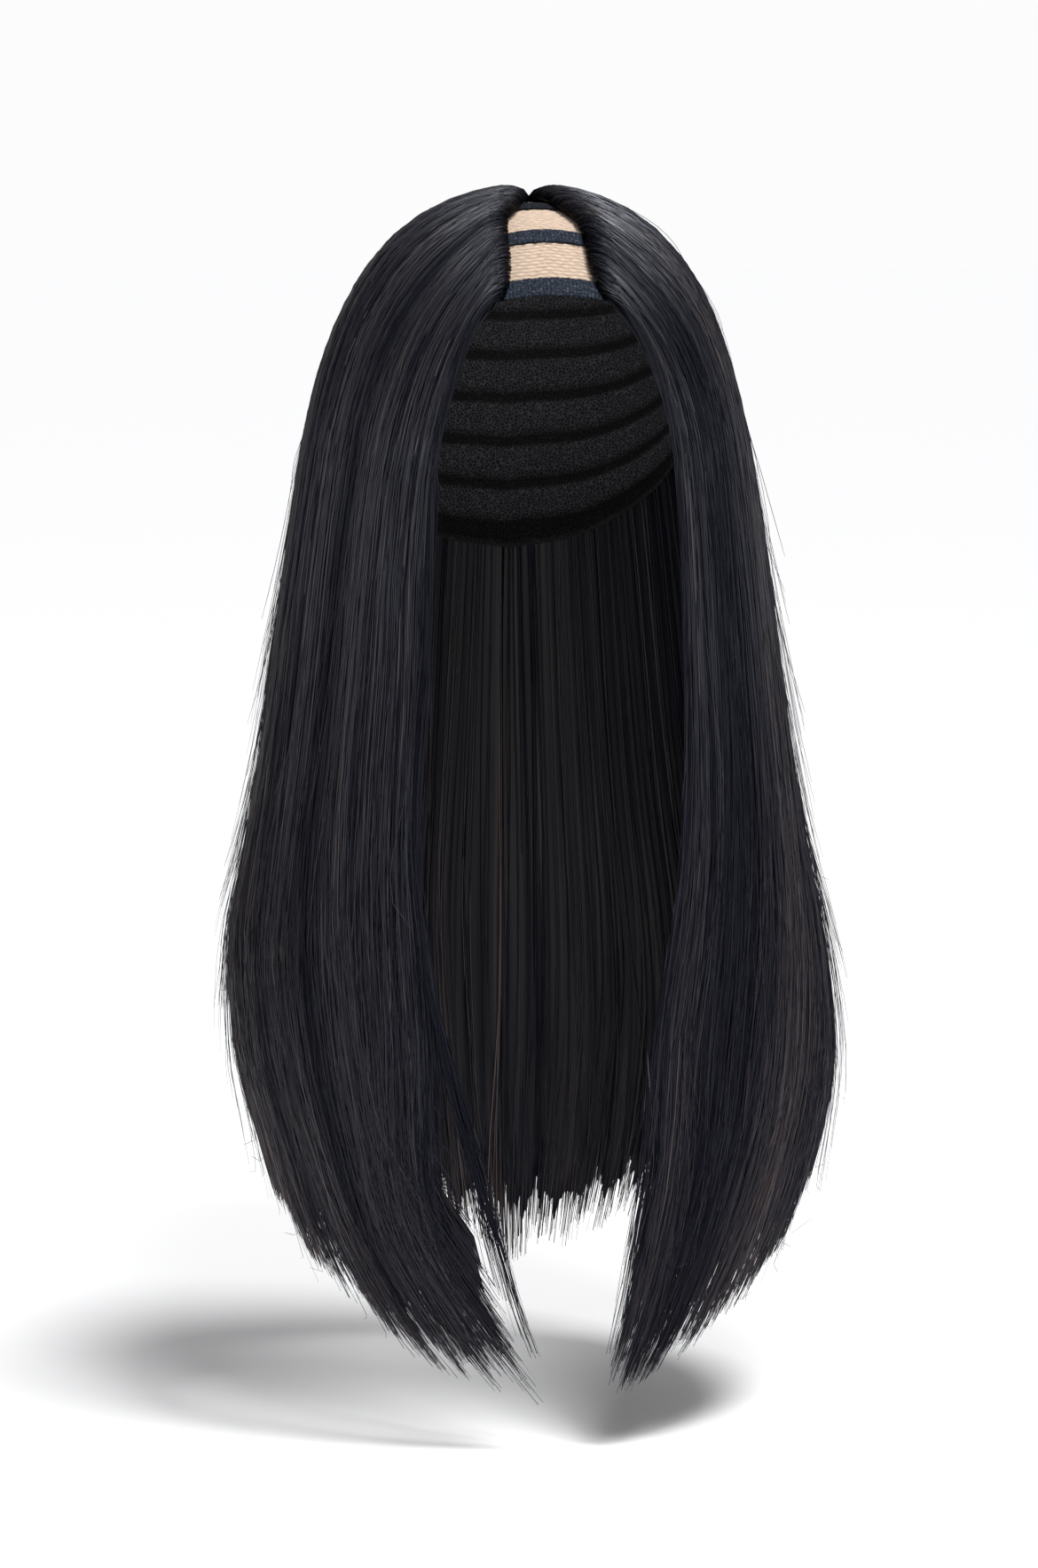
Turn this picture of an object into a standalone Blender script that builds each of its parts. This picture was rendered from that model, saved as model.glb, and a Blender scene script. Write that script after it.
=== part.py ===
"""A long straight half wig: a lace cap with a U-shaped opening at the parting,
crossed by three elastic bands, and hair that falls from it in locks.

Metres, +Z up, the face towards -Y. The origin is the top of the head that
wears it, which is the inner side of the cap's crown."""

import math

import bmesh
import bpy
from mathutils import Vector

MM = 0.001

# Head that the cap fits: half an ellipsoid's width, depth and height
HEAD_HALF_WIDTH = 77 * MM
HEAD_HALF_DEPTH = 97 * MM
HEAD_HALF_HEIGHT = 100 * MM

# Cloth
CAP_WALL = 1.2 * MM
PANEL_WALL = 1.2 * MM
BAND_WALL = 1.0 * MM
GAP = 0.3 * MM  # between neighbouring pieces
HAIR_SEAT = 0.8 * MM  # between the cap and the hair on it, whose faces are flat and dip between their corners
SEAT_RAMP = 12.0 * MM  # distance past the bands' ends over which the hair comes down to the cap
SEAM_COVER = 2.6 * MM  # how far the hair overhangs the cap's edge at the opening

# Bands across the opening: their width, and where each lies in degrees forward of the crown
BAND_WIDTH = 9.5 * MM
FRONT_BAND_LIES = 48.5
MIDDLE_BAND_LIES = 30.0
REAR_BAND_LIES = 10.5
BAND_TUCK = 11.0 * MM  # length of each end under the hair
PANEL_CLEAR = 0.9 * MM  # between the panel's sides and the cap's
PANEL_SHORT = 0.2  # share of the front band's width that the panel stops short of its front edge
PANEL_REAR = 0.8  # share of the opening's round rear end that the panel fills

# Hair
HAIR_DROP = 520 * MM  # from the crown to the longest tips
HAIR_HALF_WIDTH = 138 * MM
HAIR_FRONT_REACH = 85 * MM
HAIR_BACK_REACH = 120 * MM
HAIR_TOP = 9.2 * MM  # height of the hair above the head beside the parting
HAIR_EDGE = 0.9 * MM  # thickness of the hair where it is sewn on
ROOT_ROLL = 11.0 * MM  # distance over which it swells from that edge to its full height
CURTAIN_THICK = 13.0 * MM
TIP_THICK = 1.4 * MM
LEAST_THICK = 2.5 * MM
LOCK_RIDGE = 2.4 * MM  # height of a lock's back above the grooves beside it
HEAD_RELIEF = 0.45  # share of that height where the locks start
LOCK_SLIT = 62.0 * MM  # length of the slits between the locks' points
SLIT_VARIES = 0.3  # by how much of itself that length differs
SLIT_TURNS = 2600.0  # degrees of its wave from the face's edge to the middle of the back
HANG_FROM = 118.0 * MM  # level under the crown where the hair leaves the head and hangs
FULLNESS = 1.12  # how far the hair swells over the head, beside a plain round arc

# Parting: its edge seen from above, from the crown's point to the front band
OPENING_HALF_WIDTH = 26.0 * MM
CROWN_LIES = -28.0  # degrees forward of the top of the head, where the parting ends
CROWN_RADIUS = 3.0 * MM
PART_SHARES = (
    # lies: share of the way from the crown's point to the front edge
    # half: distance from the middle, as a share of the opening's half width
    ("lies", "half"),
    (0.000, 0.058),
    (0.227, 0.058),
    (0.353, 0.073),
    (0.454, 0.210),
    (0.542, 0.373),
    (0.630, 0.588),
    (0.731, 0.654),
    (0.857, 0.700),
    (0.946, 0.820),
    (1.000, 1.000),
)

# Hanging hair, a row for each level
FALL_SHARES = (
    # drop: share of the hair's drop
    # left, right: shares of the half width, for the two edges beside the face
    # left_side, right_side: shares of the half width, for the widest place
    # edge_y: the edges' place forward, as a share of the front reach
    # side_y, back_y: shares of the back reach, for the widest place and the middle of the back
    ("drop", "left", "right", "left_side", "right_side", "edge_y", "side_y", "back_y"),
    (0.226, 0.347, 0.394, 0.745, 0.723, 0.86, 0.06, 0.92),
    (0.281, 0.365, 0.416, 0.775, 0.761, 0.79, 0.08, 0.95),
    (0.373, 0.366, 0.430, 0.822, 0.812, 0.73, 0.09, 0.975),
    (0.471, 0.391, 0.440, 0.870, 0.862, 0.72, 0.09, 0.985),
    (0.548, 0.402, 0.428, 0.922, 0.909, 0.73, 0.08, 0.99),
    (0.623, 0.380, 0.388, 0.975, 0.966, 0.76, 0.05, 1.00),
    (0.716, 0.326, 0.335, 0.963, 1.000, 0.81, 0.00, 0.99),
    (0.775, 0.290, 0.328, 0.909, 0.971, 0.85, -0.04, 0.97),
    (0.860, 0.217, 0.275, 0.816, 0.867, 0.90, -0.11, 0.92),
    (0.934, 0.138, 0.219, 0.675, 0.700, 0.95, -0.19, 0.84),
    (0.972, 0.072, 0.176, 0.545, 0.560, 0.98, -0.24, 0.77),
    (1.000, 0.022, 0.156, 0.434, 0.440, 1.00, -0.28, 0.72),
)

# Lower edge of the hair: how far the points reach, as a share of the drop,
# for places round the head from the face's edge (0) to the middle of the back (1)
HEM_SHARES = (
    ("round", "drop"),
    (0.00, 1.000),
    (0.08, 0.992),
    (0.17, 0.962),
    (0.27, 0.905),
    (0.36, 0.862),
    (0.46, 0.845),
    (0.60, 0.882),
    (0.80, 0.935),
    (1.00, 0.955),
)

# Cap's lower edge, from the temple round to the nape
CAP_EDGE = (
    # bearing: degrees round from the front; lies: degrees down from the crown
    ("round", "bearing", "lies"),
    (0.00, 62.0, 82.0),
    (0.18, 84.0, 84.0),
    (0.36, 104.0, 92.0),
    (0.55, 124.0, 108.0),
    (0.78, 152.0, 121.0),
    (1.00, 180.0, 125.0),
)

# Places round the head, from the face's edge (0) to the middle of the back (1)
SIDE_AT = 0.38  # the widest place
SPLIT_AT = 0.46  # where the side hair ends and the back hair begins
FAN_AT = 0.52  # from here on the hair fans out from the crown's point
EDGE_ROUNDING = 0.11  # share over which the curtain thickens from the face's edge

# Fineness of the solids
SIDE_LOCKS = 8
BACK_LOCKS = 10
COLUMNS_IN_LOCK = 4
HEAD_ROWS = 13
HANG_ROWS = 8
ROLL_SHARES = (0.016, 0.05)  # shares of the way over the head for the first two rows
FILL_ROWS = 3.0  # rows over which the hair, from filling the space over the cap, gets its own thickness
ROUND_STEP = 0.004  # step round the head, and in rows, for the slope of the hair's outer side
ROW_STEP = 0.3
CAP_COLUMNS = 44
CAP_ROWS = 7
BAND_COLUMNS = 14
PANEL_COLUMNS = 10
PANEL_ROWS = 13

LEFT, RIGHT = -1, 1
EDGE_OF_SIDE = {LEFT: "left", RIGHT: "right"}
WIDEST_OF_SIDE = {LEFT: "left_side", RIGHT: "right_side"}


def smooth_step(share):
    share = min(max(share, 0.0), 1.0)
    return share * share * (3 - 2 * share)


def read_table(table, key, place, column):
    """The column's value at a place, on a smooth curve through the table's rows."""
    names, rows = table[0], table[1:]
    at, of = names.index(key), names.index(column)
    place = min(max(place, rows[0][at]), rows[-1][at])
    last = len(rows) - 2
    i = next((n for n in range(last) if place <= rows[n + 1][at]), last)

    def slope(n):
        before, after = rows[max(n - 1, 0)], rows[min(n + 1, len(rows) - 1)]
        return (after[of] - before[of]) / (after[at] - before[at])

    step = rows[i + 1][at] - rows[i][at]
    s = (place - rows[i][at]) / step
    return (
        (2 * s**3 - 3 * s**2 + 1) * rows[i][of]
        + (s**3 - 2 * s**2 + s) * step * slope(i)
        + (3 * s**2 - 2 * s**3) * rows[i + 1][of]
        + (s**3 - s**2) * step * slope(i + 1)
    )


def head_axes(rise):
    return HEAD_HALF_WIDTH + rise, HEAD_HALF_DEPTH + rise, HEAD_HALF_HEIGHT + rise


def on_parting(across, lies, rise):
    """A point over the head's top, by its distance from the middle and its angle forward of the crown."""
    wide, deep, high = head_axes(rise)
    across *= wide / HEAD_HALF_WIDTH
    left_over = math.sqrt(1 - (across / wide) ** 2)
    angle = math.radians(lies)
    y = -deep * left_over * math.sin(angle)
    z = high * left_over * math.cos(angle) - HEAD_HALF_HEIGHT
    return Vector((across, y, z))


def on_head(direction, rise):
    """The point of the head, or of a layer over it, in a direction from its middle."""
    d = direction.normalized()
    wide, deep, high = head_axes(rise)
    return Vector((wide * d.x, deep * d.y, high * d.z - HEAD_HALF_HEIGHT))


def head_direction(point):
    """The direction that on_head takes to reach the head under this point."""
    return Vector(
        (
            point.x / HEAD_HALF_WIDTH,
            point.y / HEAD_HALF_DEPTH,
            (point.z + HEAD_HALF_HEIGHT) / HEAD_HALF_HEIGHT,
        )
    )


def head_normal(point):
    x = point.x / HEAD_HALF_WIDTH**2
    y = point.y / HEAD_HALF_DEPTH**2
    z = (point.z + HEAD_HALF_HEIGHT) / HEAD_HALF_HEIGHT**2
    return Vector((x, y, z)).normalized()


def rise_over_head(point):
    """Height of a point over the head's surface."""
    scaled = head_direction(point)
    f = scaled.length
    x = scaled.x / HEAD_HALF_WIDTH
    y = scaled.y / HEAD_HALF_DEPTH
    z = scaled.z / HEAD_HALF_HEIGHT
    return (f - 1) * f / Vector((x, y, z)).length


def kept_off_head(point, least):
    """The point itself, or moved straight out where it lies lower over the head than the least rise."""
    for _ in range(4):
        short = least - rise_over_head(point)
        if short > 0:
            point = point + head_normal(point) * short
    return point


def part_edge(lies):
    """The hair's distance from the middle at the parting, at an angle forward of the crown."""
    share = (lies - CROWN_LIES) / (front_edge_lies() - CROWN_LIES)
    return OPENING_HALF_WIDTH * read_table(PART_SHARES, "lies", share, "half")


def degrees_along(length):
    """The angle that a length covers on the head's middle line."""
    return math.degrees(length / HEAD_HALF_DEPTH)


def front_edge_lies():
    return FRONT_BAND_LIES + degrees_along(BAND_WIDTH) / 2


def hanging(round_at, level, side):
    """A point of the hanging hair's outer side, at a place round the head and a level under the crown."""
    drop = level / HAIR_DROP
    edge_x = HAIR_HALF_WIDTH * read_table(FALL_SHARES, "drop", drop, EDGE_OF_SIDE[side])
    side_x = HAIR_HALF_WIDTH * read_table(FALL_SHARES, "drop", drop, WIDEST_OF_SIDE[side])
    edge_y = -HAIR_FRONT_REACH * read_table(FALL_SHARES, "drop", drop, "edge_y")
    side_y = HAIR_BACK_REACH * read_table(FALL_SHARES, "drop", drop, "side_y")
    back_y = HAIR_BACK_REACH * read_table(FALL_SHARES, "drop", drop, "back_y")
    if round_at < SIDE_AT:
        turn = math.radians(90) * round_at / SIDE_AT
        x = edge_x + (side_x - edge_x) * math.sin(turn)
        y = side_y + (edge_y - side_y) * math.cos(turn)
    else:
        turn = math.radians(90) * (round_at - SIDE_AT) / (1 - SIDE_AT)
        x = side_x * math.cos(turn)
        y = side_y + (back_y - side_y) * math.sin(turn)
    return Vector((side * x, y, -level))


def root_lies(round_at):
    """Where the hair at a place round the head starts, in degrees forward of the crown."""
    return front_edge_lies() + (CROWN_LIES - front_edge_lies()) * min(round_at / FAN_AT, 1.0)


def root(round_at, side, rise):
    """Where the hair at a place round the head starts: along the parting, then round the crown's point."""
    lies = root_lies(round_at)
    if round_at < FAN_AT:
        return on_parting(side * part_edge(lies), lies, rise)
    turn = math.radians(90) * (round_at - FAN_AT) / (1 - FAN_AT)
    across = part_edge(lies) * math.cos(turn)
    lies -= degrees_along(CROWN_RADIUS * math.sin(turn))
    return on_parting(side * across, lies, rise)


def arc(start, start_way, end, end_way, share):
    """A point of an even curve that leaves start and reaches end in the ways given."""
    chord = (end - start).length
    bend = max(start_way.angle(end_way), 0.01)
    handle = FULLNESS * chord * 2 * math.tan(bend / 4) / (3 * math.sin(bend / 2))
    a, b = start + start_way * handle, end - end_way * handle
    s, r = share, 1 - share
    return start * r**3 + a * 3 * r * r * s + b * 3 * r * s * s + end * s**3


def head_share(row):
    """Share of the way over the head for a row. The first rows lie close, where the hair rolls over its edge."""
    whole = int(row)
    part = row - whole
    shares = [0.0, *ROLL_SHARES]
    even = HEAD_ROWS - len(ROLL_SHARES)
    shares += [ROLL_SHARES[-1] + (1 - ROLL_SHARES[-1]) * (n + 1) / even for n in range(even)]
    after = min(whole + 1, HEAD_ROWS)
    return shares[whole] + (shares[after] - shares[whole]) * part


def reach_of(round_at):
    return HAIR_DROP * read_table(HEM_SHARES, "round", round_at, "drop")


def outer_side(round_at, row, side, slit=0.0):
    """The hair's outer side before its locks are raised. Row counts the rows from the root."""
    if row > HEAD_ROWS:
        share = (row - HEAD_ROWS) / HANG_ROWS
        level = HANG_FROM + (reach_of(round_at) - slit - HANG_FROM) * share
        return hanging(round_at, level, side)
    end = hanging(round_at, HANG_FROM, side)
    end_way = (hanging(round_at, HANG_FROM + CURTAIN_THICK, side) - end).normalized()
    start = root(round_at, side, HAIR_TOP)
    up = head_normal(start)
    way = end - start
    way = (way - up * way.dot(up)).normalized()
    point = arc(start, way, end, end_way, head_share(row))
    return kept_off_head(point, CAP_WALL + HAIR_SEAT + LEAST_THICK)


def surface_normal(round_at, row, side):
    """The outward normal of the hair's outer side."""
    row = min(max(row, ROW_STEP), HEAD_ROWS + HANG_ROWS - ROW_STEP)
    low, high = max(round_at - ROUND_STEP, 0.0), min(round_at + ROUND_STEP, 1.0)
    along_round = outer_side(high, row, side) - outer_side(low, row, side)
    along_fall = outer_side(round_at, row + ROW_STEP, side) - outer_side(round_at, row - ROW_STEP, side)
    if round_at > 1 - ROUND_STEP:
        along_round = Vector((-side, 0, 0))
    return along_round.cross(along_fall).normalized() * -side


def lock_shape(column):
    """How high a column of the grid stands on its lock: 0 in the groove, 1 on the back."""
    return 0.5 - 0.5 * math.cos(2 * math.pi * column / COLUMNS_IN_LOCK)


def slit_length(round_at, side):
    """Length of the slit at a place round the head, which differs from lock to lock."""
    return LOCK_SLIT * (1 + SLIT_VARIES * math.sin(math.radians(SLIT_TURNS) * round_at + side))


def seat_height(point):
    """Least height of the hair's inner side over the head: it lies on the cap, and on the bands' ends."""
    d = head_direction(point)
    lies = math.degrees(math.atan2(-d.y, d.z))
    beside = (opening_half(lies) + BAND_TUCK + 2 * SEAT_RAMP - abs(point.x)) / SEAT_RAMP
    behind = (lies - opening_rear_lies()) / degrees_along(SEAT_RAMP) + 1
    return CAP_WALL + HAIR_SEAT + BAND_WALL * smooth_step(beside) * smooth_step(behind)


def hair_point(round_at, row, side, column):
    """Outer and inner points of the hair in one column and row of the grid."""
    height = lock_shape(column)
    if row == 0:
        seat = seat_height(root(round_at, side, 0))
        return root(round_at, side, seat + HAIR_EDGE), root(round_at, side, seat)
    slit = slit_length(round_at, side) * (1 - height)
    base = outer_side(round_at, row, side, slit)
    normal = surface_normal(round_at, row, side)
    away = (base - root(round_at, side, HAIR_TOP)).length
    seat = seat_height(base)
    swell = math.sqrt(1 - (1 - min(away / ROOT_ROLL, 1.0)) ** 2)
    over_head = smooth_step(row / HEAD_ROWS)
    relief = LOCK_RIDGE * (1 - height) * swell * (HEAD_RELIEF + (1 - HEAD_RELIEF) * over_head)
    outer = base - normal * relief
    if row <= HEAD_ROWS:
        outer = kept_off_head(outer, seat + LEAST_THICK)
        over_edge = rise_over_head(outer) - seat - HAIR_EDGE
        outer -= head_normal(outer) * over_edge * (1 - swell)
    in_tip = max(row - HEAD_ROWS, 0) / HANG_ROWS
    thick = curtain_thickness(round_at, in_tip)
    if row <= HEAD_ROWS:
        over_seat = rise_over_head(outer) - seat
        fills = smooth_step((HEAD_ROWS - row) / FILL_ROWS)
        thick = min(thick + max(over_seat - thick, 0) * fills, over_seat)
        normal = normal.lerp(head_normal(outer), fills).normalized()
    return outer, outer - normal * thick


def curtain_thickness(round_at, in_tip):
    """Thickness of the hair, thinner along the face's edge and towards the tips."""
    edge = min(round_at / EDGE_ROUNDING, 1.0)
    edge = LEAST_THICK + (CURTAIN_THICK - LEAST_THICK) * math.sqrt(1 - (1 - edge) ** 2)
    return edge + (TIP_THICK - edge) * in_tip**3


def new_material(name, colour, roughness):
    material = bpy.data.materials.new(name)
    material.use_nodes = True
    shader = material.node_tree.nodes["Principled BSDF"]
    shader.inputs["Base Color"].default_value = (*colour, 1)
    shader.inputs["Roughness"].default_value = roughness
    shader.inputs["Metallic"].default_value = 0.0
    return material


def new_object(name, bm, material):
    bmesh.ops.recalc_face_normals(bm, faces=bm.faces)
    mesh = bpy.data.meshes.new(name)
    bm.to_mesh(mesh)
    bm.free()
    mesh.shade_smooth()
    mesh.materials.append(material)
    obj = bpy.data.objects.new(name, mesh)
    bpy.context.scene.collection.objects.link(obj)
    return obj


def sheet(points):
    """An open grid of faces from rows of points."""
    bm = bmesh.new()
    grid = [[bm.verts.new(p) for p in row] for row in points]
    for upper, lower in zip(grid, grid[1:]):
        for i in range(len(upper) - 1):
            bm.faces.new((upper[i], upper[i + 1], lower[i + 1], lower[i]))
    return bm, grid


def shell(name, outer, inner, material):
    """A closed solid between an outer and an inner grid of points."""
    bm, grid = sheet(outer)
    made = bmesh.ops.extrude_face_region(bm, geom=bm.faces[:], use_keep_orig=True)
    copies = [v for v in made["geom"] if isinstance(v, bmesh.types.BMVert)]
    where = {}
    for verts, points in zip(grid, inner):
        for v, p in zip(verts, points):
            where[tuple(v.co)] = p
    for v in copies:
        v.co = where[tuple(v.co)]
    return new_object(name, bm, material)


def layer(name, points, rise, wall, material):
    """A cloth of even wall over the head, from the directions in which its points lie."""
    outer = [[on_head(p, rise + wall) for p in row] for row in points]
    inner = [[on_head(p, rise) for p in row] for row in points]
    return shell(name, outer, inner, material)


def opening_rear_lies():
    return REAR_BAND_LIES - degrees_along(BAND_WIDTH)


def opening_half(lies):
    """Half width of the cap's opening: the wider side of the hair's edge, a cover, and a round rear end."""
    rear = opening_rear_lies()
    wide = part_edge(max(lies, rear)) + SEAM_COVER
    behind = math.radians(max(rear - lies, 0)) * HEAD_HALF_DEPTH
    return math.sqrt(max(wide**2 - behind**2, 0))


def cap_edge_direction(round_at):
    bearing = math.radians(read_table(CAP_EDGE, "round", round_at, "bearing"))
    lies = math.radians(read_table(CAP_EDGE, "round", round_at, "lies"))
    return Vector((math.sin(lies) * math.sin(bearing), -math.sin(lies) * math.cos(bearing), math.cos(lies)))


def build_cap(material):
    """Dome from the U-shaped edge of the opening down to the edge above the ears and round the nape."""
    points = []
    turns = [2 * c / CAP_COLUMNS - 1 for c in range(CAP_COLUMNS + 1)]
    for row in range(CAP_ROWS + 1):
        line = []
        for turn in turns:
            side = LEFT if turn < 0 else RIGHT
            round_at = 1 - abs(turn)
            front, rear = front_edge_lies(), opening_rear_lies()
            lies = front + (rear - front) * min(round_at / FAN_AT, 1.0)
            across = opening_half(lies)
            if round_at > FAN_AT:
                fan = math.radians(90) * (round_at - FAN_AT) / (1 - FAN_AT)
                lies -= degrees_along(across * math.sin(fan))
                across *= math.cos(fan)
            start = head_direction(on_parting(across, lies, 0)).normalized()
            end = cap_edge_direction(round_at)
            way = start.slerp(end, row / CAP_ROWS)
            line.append(Vector((side * way.x, way.y, way.z)))
        points.append(line)
    return layer("cap", points, 0, CAP_WALL, material)


def build_panel(material):
    """Knit that fills the opening, from its round rear end to under the front band."""
    front = front_edge_lies() - degrees_along(BAND_WIDTH) * PANEL_SHORT
    rear = opening_rear_lies()
    rear -= degrees_along(opening_half(rear)) * PANEL_REAR
    points = []
    for row in range(PANEL_ROWS + 1):
        lies = rear + (front - rear) * row / PANEL_ROWS
        half = opening_half(lies) - PANEL_CLEAR
        line = []
        for column in range(PANEL_COLUMNS + 1):
            across = half * (2 * column / PANEL_COLUMNS - 1)
            line.append(head_direction(on_parting(across, lies, 0)))
        points.append(line)
    return layer("part_panel", points, 0, PANEL_WALL, material)


def build_band(name, lies, material):
    """Elastic that lies over the panel and the cap's edges, with both ends under the hair."""
    half_angle = degrees_along(BAND_WIDTH) / 2
    half = opening_half(lies) + BAND_TUCK
    points = []
    for row in range(3):
        at = lies + half_angle * (row - 1)
        line = []
        for column in range(BAND_COLUMNS + 1):
            across = half * (2 * column / BAND_COLUMNS - 1)
            line.append(head_direction(on_parting(across, at, 0)))
        points.append(line)
    return layer(name, points, max(CAP_WALL, PANEL_WALL) + GAP, BAND_WALL, material)


def moved_aside(points, other, room):
    """A column of points moved away from its neighbour column, to leave a gap at the hair's end."""
    return [p + (q - p).normalized() * room for p, q in zip(points, other)]


def build_hair(name, columns, material):
    """Locks fused to one curtain. Columns give each column's place round the head, its side and number."""
    outer, inner = [], []
    for round_at, side, column in columns:
        pairs = [hair_point(round_at, row, side, column) for row in range(HEAD_ROWS + HANG_ROWS + 1)]
        outer.append([p[0] for p in pairs])
        inner.append([p[1] for p in pairs])
    for grid in (outer, inner):
        first = moved_aside(grid[0], grid[1], GAP / 2)
        last = moved_aside(grid[-1], grid[-2], GAP / 2)
        grid[0], grid[-1] = first, last
    return shell(name, outer, inner, material)


def side_columns(side):
    count = SIDE_LOCKS * COLUMNS_IN_LOCK
    return [(SPLIT_AT * c / count, side, c) for c in range(count + 1)]


def back_columns():
    count = BACK_LOCKS * COLUMNS_IN_LOCK
    found = []
    for c in range(count + 1):
        turn = 2 * c / count - 1
        found.append((1 - (1 - SPLIT_AT) * abs(turn), LEFT if turn < 0 else RIGHT, c))
    return found


def main():
    for obj in list(bpy.data.objects):
        bpy.data.objects.remove(obj)
    lace = new_material("black_lace", (0.012, 0.012, 0.014), 0.85)
    knit = new_material("nude_knit", (0.78, 0.66, 0.52), 0.9)
    elastic = new_material("navy_elastic", (0.013, 0.020, 0.036), 0.8)
    hair = new_material("black_hair", (0.016, 0.014, 0.016), 0.38)
    build_cap(lace)
    build_panel(knit)
    build_band("front_band", FRONT_BAND_LIES, elastic)
    build_band("middle_band", MIDDLE_BAND_LIES, elastic)
    build_band("rear_band", REAR_BAND_LIES, elastic)
    build_hair("hair_left", side_columns(LEFT), hair)
    build_hair("hair_right", side_columns(RIGHT), hair)
    build_hair("hair_back", back_columns(), hair)


main()
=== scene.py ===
"""Half wig: ribbed knit panel, knitted elastic bands, lace cap with sewn weft rows,
and hair in fine ridged cores covered by thousands of strands."""

import math

import bpy
import numpy as np
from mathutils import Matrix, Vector


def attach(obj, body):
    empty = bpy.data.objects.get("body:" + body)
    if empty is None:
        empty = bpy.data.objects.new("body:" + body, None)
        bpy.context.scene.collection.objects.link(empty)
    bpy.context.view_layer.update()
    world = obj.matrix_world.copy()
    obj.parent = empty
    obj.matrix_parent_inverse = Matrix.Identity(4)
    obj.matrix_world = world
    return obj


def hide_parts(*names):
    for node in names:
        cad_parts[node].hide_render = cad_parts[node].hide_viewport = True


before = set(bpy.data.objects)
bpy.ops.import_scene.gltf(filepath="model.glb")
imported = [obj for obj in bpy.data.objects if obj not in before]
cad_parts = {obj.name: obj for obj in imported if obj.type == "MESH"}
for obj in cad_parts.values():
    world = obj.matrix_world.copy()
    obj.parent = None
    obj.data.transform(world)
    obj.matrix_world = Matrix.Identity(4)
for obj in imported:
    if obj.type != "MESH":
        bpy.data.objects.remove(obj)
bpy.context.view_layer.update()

MM = 0.001
LEFT, RIGHT = -1, 1
rng = np.random.default_rng(21)

# Sizes of the frame.
HEAD = np.array([77, 97, 100]) * MM
CAP_WALL = 1.2 * MM
PANEL_WALL = 1.2 * MM
BAND_WALL = 1.0 * MM
GAP = 0.3 * MM
HAIR_SEAT = 0.8 * MM
SEAT_RAMP = 12.0 * MM
SEAM_COVER = 2.6 * MM
BAND_WIDTH = 9.5 * MM
FRONT_BAND_LIES, MIDDLE_BAND_LIES, REAR_BAND_LIES = 48.5, 30.0, 10.5
BAND_TUCK = 11.0 * MM
PANEL_CLEAR = 0.9 * MM
PANEL_SHORT, PANEL_REAR = 0.2, 0.8
HAIR_DROP = 520 * MM
HAIR_HALF_WIDTH = 138 * MM
HAIR_FRONT_REACH = 85 * MM
HAIR_BACK_REACH = 120 * MM
HAIR_TOP = 9.2 * MM
HAIR_EDGE = 0.9 * MM
ROOT_ROLL = 11.0 * MM
CURTAIN_THICK = 13.0 * MM
TIP_THICK = 1.4 * MM
LEAST_THICK = 2.5 * MM
HANG_FROM = 118.0 * MM
FULLNESS = 1.12
OPENING_HALF_WIDTH = 26.0 * MM
CROWN_LIES = -28.0
CROWN_RADIUS = 3.0 * MM
SIDE_AT, SPLIT_AT, FAN_AT, EDGE_ROUNDING = 0.38, 0.46, 0.52, 0.11
CAP_COLUMNS = 132
CAP_ROWS = 66
WEFT_EVERY = 6
RIB_PITCH = 2.05 * MM
BRAID_ACROSS, BRAID_ALONG = 1.55 * MM, 1.35 * MM
BRAID_RISE = 0.13 * MM

PART_SHARES = (
    ("lies", "half"),
    (0.000, 0.058),
    (0.227, 0.058),
    (0.353, 0.073),
    (0.454, 0.210),
    (0.542, 0.373),
    (0.630, 0.588),
    (0.731, 0.654),
    (0.857, 0.700),
    (0.946, 0.820),
    (1.000, 1.000),
)
FALL_SHARES = (
    ("drop", "left", "right", "left_side", "right_side", "edge_y", "side_y", "back_y"),
    (0.226, 0.347, 0.394, 0.745, 0.723, 0.86, 0.06, 0.92),
    (0.281, 0.365, 0.416, 0.775, 0.761, 0.79, 0.08, 0.95),
    (0.373, 0.366, 0.430, 0.822, 0.812, 0.73, 0.09, 0.975),
    (0.471, 0.391, 0.440, 0.870, 0.862, 0.72, 0.09, 0.985),
    (0.548, 0.402, 0.428, 0.922, 0.909, 0.73, 0.08, 0.99),
    (0.623, 0.380, 0.388, 0.975, 0.966, 0.76, 0.05, 1.00),
    (0.716, 0.326, 0.335, 0.963, 1.000, 0.81, 0.00, 0.99),
    (0.775, 0.290, 0.328, 0.909, 0.971, 0.85, -0.04, 0.97),
    (0.860, 0.217, 0.275, 0.816, 0.867, 0.90, -0.11, 0.92),
    (0.934, 0.138, 0.219, 0.675, 0.700, 0.95, -0.19, 0.84),
    (0.972, 0.072, 0.176, 0.545, 0.560, 0.98, -0.24, 0.77),
    (1.000, 0.022, 0.156, 0.434, 0.440, 1.00, -0.28, 0.72),
)
HEM_SHARES = (
    ("round", "drop"),
    (0.00, 1.000),
    (0.08, 0.992),
    (0.17, 0.962),
    (0.27, 0.905),
    (0.36, 0.862),
    (0.46, 0.845),
    (0.60, 0.882),
    (0.80, 0.935),
    (1.00, 0.955),
)
CAP_EDGE = (
    ("round", "bearing", "lies"),
    (0.00, 62.0, 82.0),
    (0.18, 84.0, 84.0),
    (0.36, 104.0, 92.0),
    (0.55, 124.0, 108.0),
    (0.78, 152.0, 121.0),
    (1.00, 180.0, 125.0),
)
EDGE_OF_SIDE = {LEFT: "left", RIGHT: "right"}
WIDEST_OF_SIDE = {LEFT: "left_side", RIGHT: "right_side"}


# The frame's surfaces, for arrays of places.
def smooth_step(share):
    share = np.clip(share, 0.0, 1.0)
    return share * share * (3 - 2 * share)


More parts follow.
